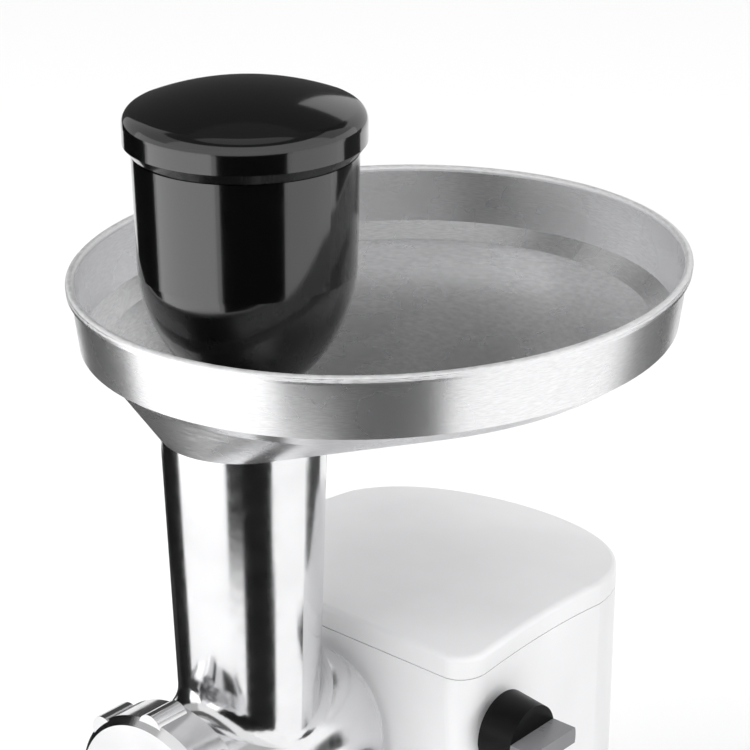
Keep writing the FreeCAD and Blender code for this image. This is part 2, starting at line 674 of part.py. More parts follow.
def top_cover():
    form = housing_form(0, size("base_gap"), FORM_TOP)
    seam = size("arch_radius") + size("seam_gap")
    crown = size("arch_radius") + size("cover_height")
    slab = form.common(arch(crown)).cut(arch(seam))
    edge = [e for e in slab.Edges if abs(crown_gap(e, crown)) < EDGE_MATCH]
    slab = slab.makeFillet(size("cover_round"), edge)
    pocket = housing_form(size("housing_wall") + size("cover_wall"), size("base_gap"), FORM_TOP)
    slab = slab.cut(pocket.common(arch(crown - size("cover_wall"))))
    tongue = housing_form(size("housing_wall") + size("thread_gap"), size("base_gap"), FORM_TOP)
    tongue = tongue.cut(pocket).common(arch(seam + size("overcut"))).cut(arch(seam - size("tongue_depth")))
    return feature(slab.fuse(tongue), "cover")


def crown_gap(edge, radius):
    """How far an edge's middle lies from the crown of the cover."""
    middle = edge.valueAt((edge.FirstParameter + edge.LastParameter) / 2)
    rise = middle.z - (size("seam_height") - size("arch_radius"))
    return math.hypot(middle.y - size("arch_centre_y"), rise) - radius


node(housing_shell(), "housing_shell")
node(top_cover(), "top_cover")

node(revolved("outlet", [
    ("collar_radius + thread_gap", "0"), ("outlet_radius", "0"), ("outlet_radius",
                                                                  "outlet_length - outlet_round"),
    ("outlet_radius - outlet_round", "outlet_length"), ("collar_radius + thread_gap", "outlet_length")],
    y="front_y", z="axis_height", turn=TOWARDS_FRONT), "outlet_ring")


# Base plate, its screws and the rubber feet
def base_plate():
    plan = Part.Face(outline(size("base_gap"), size("foot_half_width"),
                             size("housing_wall") + size("base_fit")))
    plate = feature(plan.extrude(Vector(0, 0, size("base_plate_thickness"))), "plate")
    tools = [cylinder("screw_radius", "base_plate_thickness + 2 * overcut", x=x, y=y,
                      z="base_gap - overcut") for x, y in BOSS_SPOTS]
    for index in range(int(size("base_vents"))):
        offset = "(%d - (base_vents - 1) / 2) * vent_step" % index
        tools.append(box("vent_width", "base_vent_length", "base_plate_thickness + 2 * overcut",
                         x=offset + " - vent_width / 2", y="base_vent_y", z="base_gap - overcut"))
    return cut(plate, fuse(*tools))


node(base_plate(), "base_plate")
node(group(*[fuse(
    cylinder("screw_radius", "screw_length", x=x, y=y, z="base_gap"),
    cylinder("screw_head_radius", "screw_head_height", x=x, y=y, z="base_gap - screw_head_height"))
    for x, y in BOSS_SPOTS]), "base_screws")
FOOT_SPOTS = [("%s * (foot_half_width - foot_inset_front)" % side,
               "front_y + foot_inset") for side in ("-1", "1")]
FOOT_SPOTS += [("%s * (rear_half_width - foot_inset_front)" % side,
                "side_end_y + foot_rear") for side in ("-1", "1")]
node(group(*[cone("foot_radius - foot_draft", "foot_radius", "base_gap", x=x, y=y) for x, y in FOOT_SPOTS]),
     "rubber_feet")

node(revolved("gland", [
    ("gland_bore", "0"), ("gland_radius", "0"), ("gland_radius", "gland_length"),
    ("gland_radius + gland_flange", "gland_length"), ("gland_radius + gland_flange",
                                                      "gland_length + gland_flange"),
    ("gland_bore", "gland_length + gland_flange")],
    y="back_y - gland_length", z="gland_height", turn=ALONG_Y), "cord_gland")

# Control knob with its grip bar, switch shaft and rotary switch
KNOB = {"y": "knob_y", "z": "axis_height + knob_above_axis", "turn": ALONG_X}
knob_skirt = cone("knob_radius", "knob_radius - knob_taper", "knob_length", x="knob_face_x", **KNOB)
shaft_socket = cylinder("switch_shaft_radius", "knob_length - shaft_land", x="knob_face_x", **KNOB)
node(cut(knob_skirt, shaft_socket), "control_knob")
node(common(
    box("bar_length", "knob_radius * 2", "bar_width", x="knob_face_x + knob_length", y="knob_y - knob_radius",
        z="axis_height + knob_above_axis - bar_width / 2"),
    cylinder("knob_radius - knob_taper", "bar_length", x="knob_face_x + knob_length", **KNOB)),
    "knob_grip_bar")
SWITCH_FACE = "top_half_width - switch_inset"
node(cylinder("switch_shaft_radius",
              "knob_face_x + knob_length - shaft_land - (%s) + switch_depth / 2" % SWITCH_FACE,
              x=SWITCH_FACE + " - switch_depth / 2", **KNOB), "switch_shaft")
node(cut(
    box("switch_depth", "switch_size", "switch_size", x=SWITCH_FACE + " - switch_depth",
        y="knob_y - switch_size / 2", z="axis_height + knob_above_axis - switch_size / 2"),
    cylinder("switch_shaft_radius + running_clearance", "switch_depth / 2 + overcut",
             x=SWITCH_FACE + " - switch_depth / 2", **KNOB)), "rotary_switch")

# Release button on its spring, in the guide behind the front face
BUTTON = {"x": "button_x", "z": "axis_height - button_below_axis", "turn": ALONG_Y}
BUTTON_BACK = "front_y + button_depth"
node(fuse(
    cylinder("button_radius", "button_stand + button_depth", y="front_y - button_stand", **BUTTON),
    cylinder("button_stem_radius", "button_stem_length", y=BUTTON_BACK, **BUTTON)), "release_button")


def button_spring():
    start = evaluate(BUTTON_BACK) + size("spring_wire") + size("spring_end_gap")
    seat = size("front_y") + size("guide_length") + size("overcut") - size("guide_wall")
    end = seat - size("spring_wire") - size("spring_end_gap")
    helix = Part.makeHelix((end - start) / size("spring_turns"), end - start, size("spring_radius"))
    ring_wire = Part.Wire(Part.makeCircle(size("spring_wire"), Vector(size("spring_radius"), 0, 0),
                                          Vector(0, 1, 0)))
    coil = Part.Wire(helix.Edges).makePipeShell([ring_wire], True, True)
    return feature(along_y(coil, Vector(size("button_x"), start, evaluate(BUTTON["z"]))), "spring")


node(button_spring(), "button_spring")


# Spur gears with involute flanks
def involute(base_radius, radius):
    """Polar angle of the involute at a radius."""
    ratio = max(1.0, radius / base_radius)
    return math.sqrt(ratio * ratio - 1) - math.acos(1 / ratio)


def gear(teeth_name, module_name, width_name, bore_radius, axis, face, tooth_angle):
    """Gear whose tooth at tooth_angle, in degrees in the X and Z plane, is centred there."""
    teeth = int(size(teeth_name))
    module = size(module_name)
    pitch = module * teeth / 2
    base = pitch * math.cos(math.radians(PRESSURE_ANGLE))
    tip = pitch + ADDENDUM * module
    root = pitch - DEDENDUM * module
    half_tooth = math.pi / (2 * teeth) - size("tooth_backlash") / (2 * pitch)
    at_pitch = involute(base, pitch)
    radii = [max(root, base), (max(root, base) + tip) / 2, tip]
    corners = []
    for index in range(teeth):
        middle = 2 * math.pi * index / teeth - math.radians(tooth_angle)
        flank = [(r, half_tooth + at_pitch - involute(base, r)) for r in radii]
        if base > root:
            flank.insert(0, (root, flank[0][1]))
        for r, a in flank:
            corners.append(Vector(r * math.cos(middle - a), r * math.sin(middle - a), 0))
        for r, a in reversed(flank):
            corners.append(Vector(r * math.cos(middle + a), r * math.sin(middle + a), 0))
    blank = Part.Face(Part.makePolygon(corners + corners[:1])).extrude(Vector(0, 0, size(width_name)))
    blank = blank.cut(Part.makeCylinder(bore_radius, size(width_name)))
    return feature(along_y(blank, Vector(axis.x, evaluate(face), axis.z)), "gear")


PRESSURE_ANGLE = 20.0
ADDENDUM = 0.8
DEDENDUM = 1.1
SMALL_GAP = HALF_TURN + HALF_TURN / size("teeth_small")
shaft_radius = size("gear_shaft_radius")
node(gear("teeth_large", "module_out", "face_out", size("drive_shaft_radius"), OUT_AXIS, OUT_FACE,
          size("out_angle")), "output_gear")
node(gear("teeth_small", "module_out", "face_out", shaft_radius, MID_AXIS, OUT_FACE,
          size("out_angle") + SMALL_GAP), "second_pinion")
node(gear("teeth_large", "module_mid", "face_mid", shaft_radius, MID_AXIS, MID_FACE, size("mid_angle")),
     "second_gear")
node(gear("teeth_small", "module_mid", "face_mid", shaft_radius, FIRST_AXIS, MID_FACE,
          size("mid_angle") + SMALL_GAP), "first_pinion")
node(gear("teeth_large", "module_motor", "face_motor", shaft_radius, FIRST_AXIS, MOTOR_FACE,
          size("motor_angle")),
     "first_gear")
node(gear("teeth_small", "module_motor", "face_motor", size("rotor_shaft_radius"), MOTOR_AXIS, MOTOR_FACE,
          size("motor_angle") + SMALL_GAP), "motor_pinion")

SHAFT_SPAN = "(%s) - (%s)" % (COVER_BACK, CASE_FRONT)
for axis, label in ((MID_AXIS, "second_shaft"), (FIRST_AXIS, "first_shaft")):
    node(cylinder("gear_shaft_radius", SHAFT_SPAN + " - thread_gap * 2", y=CASE_FRONT + " + thread_gap",
                  turn=ALONG_Y, **xz(axis)), label)
node(cut(
    cylinder("drive_shaft_radius", SHAFT_SPAN, y=CASE_FRONT + " + thread_gap", z="axis_height", turn=ALONG_Y),
    prism("drive_hex + drive_hex_gap", "drive_depth + overcut", "0", CASE_FRONT, "axis_height", ALONG_Y)),
    "drive_shaft")
node(revolved("bush", [
    ("drive_shaft_radius + running_clearance", "0"), ("drive_shaft_radius + bush_wall", "0"),
    ("drive_shaft_radius + bush_wall", "case_wall"),
    ("drive_shaft_radius + running_clearance", "case_wall")],
    y=CASE_FRONT, z="axis_height", turn=ALONG_Y), "shaft_bush")

# Gearbox: case behind the front face and the plate that closes it
LARGE_TIP = "(teeth_large / 2 + %r)" % ADDENDUM
CASE_LEFT = "%r - module_mid * %s - case_gap - case_wall" % (MID_AXIS.x, LARGE_TIP)
CASE_RIGHT = "module_out * %s + case_gap + case_wall" % LARGE_TIP
CASE_LOW = "%r - bearing_radius - case_gap - case_wall" % MOTOR_AXIS.z
CASE_HIGH = "axis_height + module_out * %s + case_gap + case_wall" % LARGE_TIP
case_block = box("(%s) - (%s)" % (CASE_RIGHT, CASE_LEFT), "(%s) - (%s)" % (COVER_FACE, CASE_FRONT),
                 "(%s) - (%s)" % (CASE_HIGH, CASE_LOW), x=CASE_LEFT, y=CASE_FRONT, z=CASE_LOW)
case_hollow = box("(%s) - (%s) - case_wall * 2" % (CASE_RIGHT, CASE_LEFT), "(%s) - (%s)" % (COVER_FACE,
                                                                                            CASE_FRONT),
                  "(%s) - (%s) - case_wall * 2" % (CASE_HIGH, CASE_LOW), x=CASE_LEFT + " + case_wall",
                  y=CASE_FRONT + " + case_wall", z=CASE_LOW + " + case_wall")
case_tools = [cylinder("drive_shaft_radius + bush_wall", "case_wall + 2 * overcut",
                       y=CASE_FRONT + " - overcut", z="axis_height",
                       turn=ALONG_Y)]
cover_tools = [cylinder("drive_shaft_radius + running_clearance", "case_wall + 2 * overcut",
                        y=COVER_FACE + " - overcut",
                        z="axis_height", turn=ALONG_Y),
               cylinder("bearing_radius", "case_wall + 2 * overcut", y=COVER_FACE + " - overcut",
                        turn=ALONG_Y, **xz(MOTOR_AXIS))]
for axis in (MID_AXIS, FIRST_AXIS):
    case_tools.append(cylinder("gear_shaft_radius + running_clearance", "case_wall + 2 * overcut",
                               y=CASE_FRONT + " - overcut",
                               turn=ALONG_Y, **xz(axis)))
    cover_tools.append(cylinder("gear_shaft_radius + running_clearance", "case_wall + 2 * overcut",
                                y=COVER_FACE + " - overcut",
                                turn=ALONG_Y, **xz(axis)))
CASE_SCREWS = [(x, z) for x in (CASE_LEFT + " - case_ear / 2", CASE_RIGHT + " + case_ear / 2")
               for z in (CASE_LOW + " + case_ear", CASE_HIGH + " - case_ear")]
ears = [cylinder("case_ear", "case_wall", x=x, y=COVER_FACE + " - case_wall", z=z, turn=ALONG_Y)
        for x, z in CASE_SCREWS]
cover_ears = [cylinder("case_ear", "case_wall", x=x, y=COVER_FACE, z=z, turn=ALONG_Y) for x, z in CASE_SCREWS]
screw_holes = [cylinder("case_screw_radius", "case_wall * 2 + 2 * overcut", x=x,
                        y=COVER_FACE + " - case_wall - overcut", z=z,
                        turn=ALONG_Y) for x, z in CASE_SCREWS]
node(cut(fuse(case_block, *ears), case_hollow, fuse(*case_tools, *screw_holes)), "gearbox_case")
cover_slab = box("(%s) - (%s)" % (CASE_RIGHT, CASE_LEFT), "case_wall", "(%s) - (%s)" % (CASE_HIGH, CASE_LOW),
                 x=CASE_LEFT, y=COVER_FACE, z=CASE_LOW)
node(cut(fuse(cover_slab, *cover_ears), fuse(*cover_tools, *screw_holes)), "gearbox_cover")
node(group(*[fuse(
    cylinder("case_screw_radius", "case_wall * 2", x=x, y=COVER_FACE + " - case_wall", z=z, turn=ALONG_Y),
    cylinder("case_head_radius", "case_screw_radius", x=x, y=COVER_BACK, z=z, turn=ALONG_Y))
    for x, z in CASE_SCREWS]), "gearbox_screws")

# Motor: stator, coils, rotor, commutator, brushes, bearings, fan and rear frame
MOTOR = dict(turn=ALONG_Y, **xz(MOTOR_AXIS))
POST_SPOTS = ["%r - stator_radius - post_gap" % MOTOR_AXIS.x, "%r + stator_radius + post_gap" % MOTOR_AXIS.x]
lugs = [cylinder("post_radius + lug_wall", "stator_length", x=x, y=STATOR_FRONT, z=repr(MOTOR_AXIS.z),
                 turn=ALONG_Y)
        for x in POST_SPOTS]
lug_holes = [cylinder("post_radius + thread_gap", "stator_length + 2 * overcut", x=x,
                      y=STATOR_FRONT + " - overcut",
                      z=repr(MOTOR_AXIS.z), turn=ALONG_Y) for x in POST_SPOTS]
stator_ring = cylinder("stator_radius", "stator_length", y=STATOR_FRONT, **MOTOR)
stator_bore = cylinder("stator_bore", "stator_length + 2 * overcut", y=STATOR_FRONT + " - overcut", **MOTOR)
node(cut(fuse(stator_ring, *lugs), stator_bore, *lug_holes), "stator_core")
coil_points = [("stator_bore + coil_inset", "0"), ("stator_bore + coil_inset + coil_thickness", "0"),
               ("stator_bore + coil_inset + coil_thickness", "coil_length"), ("stator_bore + coil_inset",
                                                                              "coil_length")]
node(group(revolved("coil_front", coil_points, y=STATOR_FRONT + " - coil_length", **MOTOR),
           revolved("coil_back", coil_points, y=STATOR_BACK, **MOTOR)), "field_coils")
node(cylinder("rotor_shaft_radius", "(%s) + fan_length - (%s)" % (FAN_FACE, MOTOR_FACE), y=MOTOR_FACE,
              **MOTOR),
     "rotor_shaft")
CORE_BORE = {"y": STATOR_FRONT + " - overcut", **MOTOR}
node(cut(cylinder("stator_bore - rotor_gap", "stator_length", y=STATOR_FRONT, **MOTOR),
         cylinder("rotor_shaft_radius", "stator_length + 2 * overcut", **CORE_BORE)), "rotor_core")
node(cut(cylinder("commutator_radius", "commutator_length", y=COMMUTATOR_FRONT, **MOTOR),
         cylinder("rotor_shaft_radius", "commutator_length + 2 * overcut",
                  y=COMMUTATOR_FRONT + " - overcut", **MOTOR)), "commutator")
bearing_points = [("rotor_shaft_radius + running_clearance", "0"), ("bearing_radius", "0"),
                  ("bearing_radius", "bearing_length"), ("rotor_shaft_radius + running_clearance",
                                                         "bearing_length")]
node(revolved("bearing_front", bearing_points, y=COVER_FACE, **MOTOR), "front_bearing")
node(revolved("bearing_back", bearing_points, y=BRACKET_FACE, **MOTOR), "rear_bearing")
plate_half = "(stator_radius + post_gap + post_radius + lug_wall)"
rear_plate = box(plate_half + " * 2", "bracket_thickness", "bracket_height",
                 x="%r - %s" % (MOTOR_AXIS.x, plate_half), y=BRACKET_FACE,
                 z="%r - bracket_height / 2" % MOTOR_AXIS.z)
posts = [cylinder("post_radius", "(%s) - (%s)" % (BRACKET_FACE, COVER_BACK), x=x, y=COVER_BACK,
                  z=repr(MOTOR_AXIS.z),
                  turn=ALONG_Y) for x in POST_SPOTS]
node(cut(fuse(rear_plate, *posts), cylinder("bearing_radius", "bracket_thickness + 2 * overcut",
                                            y=BRACKET_FACE + " - overcut",
                                            **MOTOR)), "motor_frame")
BRUSH_Y = COMMUTATOR_FRONT + " + commutator_length / 2"


def brush_box(side, start, length, width):
    """Box that points at the commutator from one side, from a radius outwards."""
    low = "%r + %s * (%s)" % (MOTOR_AXIS.x, side, start) if side == "1" else \
        "%r - (%s) - (%s)" % (MOTOR_AXIS.x, start, length)
    return box(length, width, width, x=low, y="%s - (%s) / 2" % (BRUSH_Y, width),
               z="%r - (%s) / 2" % (MOTOR_AXIS.z, width))


def brush_holder(side):
    """Holder round a brush, with an arm back to the motor frame."""
    sleeve = brush_box(side, "commutator_radius + holder_gap", "brush_length",
                       "brush_width + holder_wall * 2")
    arm_width = "brush_width + holder_wall * 2"
    low = "%r + commutator_radius + holder_gap" % MOTOR_AXIS.x if side == "1" else \
        "%r - commutator_radius - holder_gap - brush_length" % MOTOR_AXIS.x
    arm = box("brush_length", "(%s) - (%s)" % (BRACKET_FACE, BRUSH_Y), "holder_wall", x=low, y=BRUSH_Y,
              z="%r - (%s) / 2" % (MOTOR_AXIS.z, arm_width))
    pocket = brush_box(side, "commutator_radius", "brush_length + holder_gap * 3", "brush_width")
    return cut(fuse(sleeve, arm), pocket)


node(group(*[brush_box(side, "commutator_radius + brush_gap", "brush_length",
                       "brush_width") for side in ("-1", "1")]),
     "carbon_brushes")
node(group(*[brush_holder(side) for side in ("-1", "1")]), "brush_holders")


def cooling_fan():
    hub = cylinder("fan_hub_radius", "fan_length", y=FAN_FACE, **MOTOR)
    disc = cylinder("fan_radius", "fan_disc", y=FAN_FACE, **MOTOR)
    blades = []
    for index in range(int(size("fan_blades"))):
        blade = doc.addObject("Part::Box", fresh("blade"))
        bind(blade, Length="fan_radius - fan_hub_radius", Width="fan_blade_thickness", Height="fan_length")
        angle = FULL_TURN * index / size("fan_blades")
        turn = ALONG_Y.multiply(Rotation(Vector(0, 0, 1), angle))
        place(blade, x="%r + (fan_hub_radius - fan_blade_sink) * cos(%r)" % (MOTOR_AXIS.x, angle), y=FAN_FACE,
              z="%r - (fan_hub_radius - fan_blade_sink) * sin(%r)" % (MOTOR_AXIS.z, angle), rotation=turn)
        blades.append(blade)
    bore = cylinder("rotor_shaft_radius", "fan_length + 2 * overcut", y=FAN_FACE + " - overcut", **MOTOR)
    return cut(fuse(hub, disc, *blades), bore)


node(cooling_fan(), "cooling_fan")


# The tray is the widest piece, and reaches the furthest back; the ring nut reaches the furthest forward
def footprint_middle():
    """Middle of the whole part on the table, as seen from above."""
    turn = math.radians(size("tray_turn"))
    half_width = size("tray_half_width") + size("rim_bead")
    half_length = size("tray_half_length") + size("rim_bead")
    reach = math.hypot(half_width * math.sin(turn), half_length * math.cos(turn))
    back = size("tube_y") + size("tray_centre_y") * math.cos(turn) + reach
    return Vector(-size("tray_centre_y") * math.sin(turn), (back + evaluate(NUT_FRONT)) / 2, 0)


# Rebuild, check every object, then write one file for each sub-part
doc.recompute()
failed = [item.Name for item in doc.Objects if "Invalid" in item.State or "Error" in item.State]
for item in nodes:
    if item.Shape.isNull() or not item.Shape.isValid() or not item.Shape.Solids:
        failed.append(item.Label)
if failed:
    raise RuntimeError("failed: " + ", ".join(failed))
os.makedirs("parts", exist_ok=True)
origin = footprint_middle()
print("origin at", origin.x, origin.y)
for item in nodes:
    shape = item.Shape.copy()
    shape.translate(-origin)
    shape.exportStep(os.path.join("parts", item.Label + ".step"))
    bounds = shape.BoundBox
    print("%-16s solids %2d faces %4d volume %10.1f  x %.1f..%.1f y %.1f..%.1f z %.1f..%.1f" % (
        item.Label, len(item.Shape.Solids), len(item.Shape.Faces), item.Shape.Volume, bounds.XMin,
        bounds.XMax,
        bounds.YMin, bounds.YMax, bounds.ZMin, bounds.ZMax))
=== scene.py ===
"""Looks of the meat grinder: finishes for every piece, studio stage, light and camera.

Lengths are in metres.
"""
import json
import math

import bpy
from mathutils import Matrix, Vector


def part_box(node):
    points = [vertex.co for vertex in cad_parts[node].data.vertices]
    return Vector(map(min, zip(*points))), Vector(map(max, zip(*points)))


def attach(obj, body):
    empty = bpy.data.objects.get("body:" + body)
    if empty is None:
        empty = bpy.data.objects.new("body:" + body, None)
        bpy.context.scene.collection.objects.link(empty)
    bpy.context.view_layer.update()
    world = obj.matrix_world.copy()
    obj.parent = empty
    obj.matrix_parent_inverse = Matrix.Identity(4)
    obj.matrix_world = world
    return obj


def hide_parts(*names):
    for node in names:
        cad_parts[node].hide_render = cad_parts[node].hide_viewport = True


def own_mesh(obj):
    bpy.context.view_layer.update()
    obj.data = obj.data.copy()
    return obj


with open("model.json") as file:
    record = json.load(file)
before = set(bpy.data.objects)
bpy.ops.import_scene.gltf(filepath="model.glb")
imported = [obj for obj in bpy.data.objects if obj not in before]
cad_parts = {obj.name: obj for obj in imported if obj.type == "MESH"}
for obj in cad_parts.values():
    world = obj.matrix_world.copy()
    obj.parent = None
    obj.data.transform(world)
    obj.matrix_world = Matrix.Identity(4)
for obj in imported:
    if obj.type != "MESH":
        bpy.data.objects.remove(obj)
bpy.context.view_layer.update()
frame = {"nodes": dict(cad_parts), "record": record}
nodes = frame["nodes"]

MM = 0.001
WHITE = (1.0, 1.0, 1.0)

# Upright axis of the feed tube, and the tray's oval rim, which is turned about it
TUBE_AXIS = Vector((-5.3 * MM, -74.33 * MM, 0.0))
RIM_HALF = (116.0 * MM, 129.0 * MM)
RIM_CENTRE_BEHIND = 76.0 * MM
RIM_TURN = math.radians(-4.0)

# Camera, fitted to the photograph
CAMERA_AZIMUTH = 41.0
CAMERA_ELEVATION = 22.5
CAMERA_DISTANCE = 921.2 * MM
CAMERA_TARGET = Vector((29.0 * MM, -36.8 * MM, 296.3 * MM))
CAMERA_LENS = 115.2
CAMERA_SENSOR = 36.0


def heading(azimuth):
    """Level unit vector that points from the object to a camera at an azimuth in degrees."""
    turn = math.radians(azimuth)
    return Vector((math.sin(turn), -math.cos(turn), 0.0))


def set_facing(item, azimuth, elevation, distance):
    """Put a camera or lamp into the scene at a distance from the target, facing it."""
    rise = math.radians(elevation)
    away = heading(azimuth) * math.cos(rise) + Vector((0.0, 0.0, math.sin(rise)))
    item.location = CAMERA_TARGET + away * distance
    item.rotation_euler = (-away).to_track_quat("-Z", "Y").to_euler()
    bpy.context.scene.collection.objects.link(item)


def add_camera():
    data = bpy.data.cameras.new("camera")
    data.lens = CAMERA_LENS
    data.sensor_width = CAMERA_SENSOR
    camera = bpy.data.objects.new("camera", data)
    set_facing(camera, CAMERA_AZIMUTH, CAMERA_ELEVATION, CAMERA_DISTANCE)
    bpy.context.scene.camera = camera


add_camera()

# Finishes
WAVES_PER_UNIT = 3.18
PATTERN_LOW = 0.3
PATTERN_HIGH = 0.7


def opaque(colour):
    return (*colour, 1.0)


class Finish:
    """A node material that is built up step by step round one shader."""

    def __init__(self, name, colour, rough, metal=0.0):
        self.material = bpy.data.materials.new(name)
        self.material.use_nodes = True
        self.tree = self.material.node_tree
        self.shader = self.tree.nodes["Principled BSDF"]
        self.colour = colour
        self.rough = rough
        self.set("Base Color", opaque(colour))
        self.set("Roughness", rough)
        self.set("Metallic", metal)
        self.place = self.node("ShaderNodeTexCoord").outputs["Object"]
        self.normal = None

    def set(self, socket, value):
        self.shader.inputs[socket].default_value = value

    def node(self, kind, **settings):
        item = self.tree.nodes.new(kind)
        for key, value in settings.items():
            setattr(item, key, value)
        return item

    def link(self, output, target):
        self.tree.links.new(output, target)

    def stretched(self, stretch):
        """Place on the surface, with each axis drawn out by a factor."""
        mapping = self.node("ShaderNodeMapping")
        mapping.inputs["Scale"].default_value = [1.0 / factor for factor in stretch]
        self.link(self.place, mapping.inputs["Vector"])
        return mapping.outputs["Vector"]

    def ringed(self, centre, squeeze):
        """Distance from an upright axis, with Y squeezed, and height: the same all round an oval."""
        shift = self.node("ShaderNodeVectorMath", operation="SUBTRACT")
        shift.inputs[1].default_value = (centre[0], centre[1], 0.0)
        self.link(self.place, shift.inputs[0])
        squash = self.node("ShaderNodeVectorMath", operation="MULTIPLY")
        squash.inputs[1].default_value = (1.0, squeeze, 0.0)
        self.link(shift.outputs[0], squash.inputs[0])
        length = self.node("ShaderNodeVectorMath", operation="LENGTH")
        self.link(squash.outputs[0], length.inputs[0])
        split = self.node("ShaderNodeSeparateXYZ")
        self.link(self.place, split.inputs[0])
        join = self.node("ShaderNodeCombineXYZ")
        self.link(length.outputs["Value"], join.inputs["X"])
        self.link(split.outputs["Z"], join.inputs["Y"])
        return join.outputs[0]

    def noise(self, grain, vector=None, detail=3.0):
        """Cloudy pattern whose features are about one grain across."""
        item = self.node("ShaderNodeTexNoise")
        item.inputs["Scale"].default_value = 1.0 / grain
        item.inputs["Detail"].default_value = detail
        self.link(vector if vector is not None else self.place, item.inputs["Vector"])
        return item.outputs["Fac"]

    def bands(self, spacing, axis):
        """Regular stripes across an axis."""
        item = self.node("ShaderNodeTexWave", wave_type="BANDS", bands_direction=axis)
        item.inputs["Scale"].default_value = 1.0 / (spacing * WAVES_PER_UNIT)
        self.link(self.place, item.inputs["Vector"])
        return item.outputs["Fac"]

    def spread(self, pattern, low, high):
        """Pattern turned into numbers from low to high."""
        item = self.node("ShaderNodeMapRange")
        item.inputs["From Min"].default_value = PATTERN_LOW
        item.inputs["From Max"].default_value = PATTERN_HIGH
        item.inputs["To Min"].default_value = low
        item.inputs["To Max"].default_value = high
        self.link(pattern, item.inputs["Value"])
        return item.outputs["Result"]

    def tint(self, pattern, darker, lighter):
        """Base colour that drifts between a darker and a lighter shade of itself."""
        ramp = self.node("ShaderNodeValToRGB")
        dark, light = ramp.color_ramp.elements
        dark.position = PATTERN_LOW
        light.position = PATTERN_HIGH
        dark.color = opaque([part * darker for part in self.colour])
        light.color = opaque([min(1.0, part * lighter) for part in self.colour])
        self.link(pattern, ramp.inputs["Fac"])
        self.link(ramp.outputs["Color"], self.shader.inputs["Base Color"])

    def sheen_spread(self, pattern, change):
        """Roughness that drifts about its middle value."""
        rough = self.spread(pattern, self.rough - change, self.rough + change)
        self.link(rough, self.shader.inputs["Roughness"])

    def relief(self, pattern, depth):
        """Fine relief, laid over any that is there already."""
        bump = self.node("ShaderNodeBump")
        bump.inputs["Distance"].default_value = depth
        self.link(pattern, bump.inputs["Height"])
        if self.normal is not None:
            self.link(self.normal, bump.inputs["Normal"])
        self.normal = bump.outputs["Normal"]
        self.link(self.normal, self.shader.inputs["Normal"])


# Moulded plastic and rubber
MOULD_DRIFT = 60 * MM
MOULD_PATCH = 8 * MM
MOULD_DARK = 0.96
MOULD_LIGHT = 1.03
MOULD_GLOSS_CHANGE = 0.15


def moulded(name, colour, rough, grain, depth):
    """Moulded plastic: spark texture, slow drift of shade and small changes of gloss."""
    finish = Finish(name, colour, rough)
    finish.tint(finish.noise(MOULD_DRIFT), MOULD_DARK, MOULD_LIGHT)
    finish.sheen_spread(finish.noise(MOULD_PATCH), rough * MOULD_GLOSS_CHANGE)
    finish.relief(finish.noise(grain), depth)
    return finish


MOULDED = {
    "gloss_black": dict(colour=(0.0016, 0.0016, 0.0018), rough=0.12, grain=1.2 * MM, depth=0.002 * MM),
    "knob_black": dict(colour=(0.0020, 0.0020, 0.0022), rough=0.36, grain=0.5 * MM, depth=0.008 * MM),
    "foot_rubber": dict(colour=(0.025, 0.025, 0.026), rough=0.75, grain=0.5 * MM, depth=0.02 * MM),
    "grip_grey": dict(colour=(0.20, 0.20, 0.21), rough=0.32, grain=0.4 * MM, depth=0.006 * MM),
    "white_shell": dict(colour=(0.86, 0.86, 0.87), rough=0.38, grain=0.35 * MM, depth=0.006 * MM),
    "cover_shell": dict(colour=(0.86, 0.86, 0.87), rough=0.40, grain=0.35 * MM, depth=0.006 * MM),
    "button_plastic": dict(colour=(0.30, 0.31, 0.32), rough=0.42, grain=0.4 * MM, depth=0.01 * MM),
    "base_plastic": dict(colour=(0.55, 0.55, 0.56), rough=0.55, grain=0.5 * MM, depth=0.02 * MM),
    "nylon": dict(colour=(0.82, 0.80, 0.74), rough=0.5, grain=0.6 * MM, depth=0.015 * MM),
    "gear_nylon": dict(colour=(0.72, 0.70, 0.62), rough=0.36, grain=0.6 * MM, depth=0.01 * MM),
    "carbon": dict(colour=(0.04, 0.04, 0.04), rough=0.7, grain=0.3 * MM, depth=0.02 * MM),
}

# Metal with lines
BRUSH_DARK = 0.9
BRUSH_LIGHT = 1.06
BRUSH_GLOSS_CHANGE = 0.3


def brushed(name, colour, rough, stretch, grain, depth, metal=1.0):
    """Metal with fine lines drawn out along an axis."""
    finish = Finish(name, colour, rough, metal)
    lines = finish.noise(grain, finish.stretched(stretch))
    finish.tint(lines, BRUSH_DARK, BRUSH_LIGHT)
    finish.sheen_spread(lines, rough * BRUSH_GLOSS_CHANGE)
    finish.relief(lines, depth)
    return finish


BRUSHED = {
    "cutting_steel": dict(colour=(0.56, 0.56, 0.57), rough=0.24, stretch=(12.0, 1.0, 1.0),
                          grain=0.5 * MM, depth=0.006 * MM),
    "rim_metal": dict(colour=(0.86, 0.86, 0.87), rough=0.45, stretch=(6.0, 6.0, 1.0),
                      grain=0.5 * MM, depth=0.003 * MM, metal=0.6),
    "fastener_steel": dict(colour=(0.52, 0.52, 0.53), rough=0.3, stretch=(1.0, 1.0, 8.0),
                           grain=0.4 * MM, depth=0.005 * MM),
    "shaft_steel": dict(colour=(0.50, 0.50, 0.51), rough=0.22, stretch=(1.0, 20.0, 1.0),
                        grain=0.4 * MM, depth=0.004 * MM),
    "frame_steel": dict(colour=(0.48, 0.48, 0.49), rough=0.4, stretch=(14.0, 1.0, 1.0),
                        grain=0.6 * MM, depth=0.01 * MM),
}

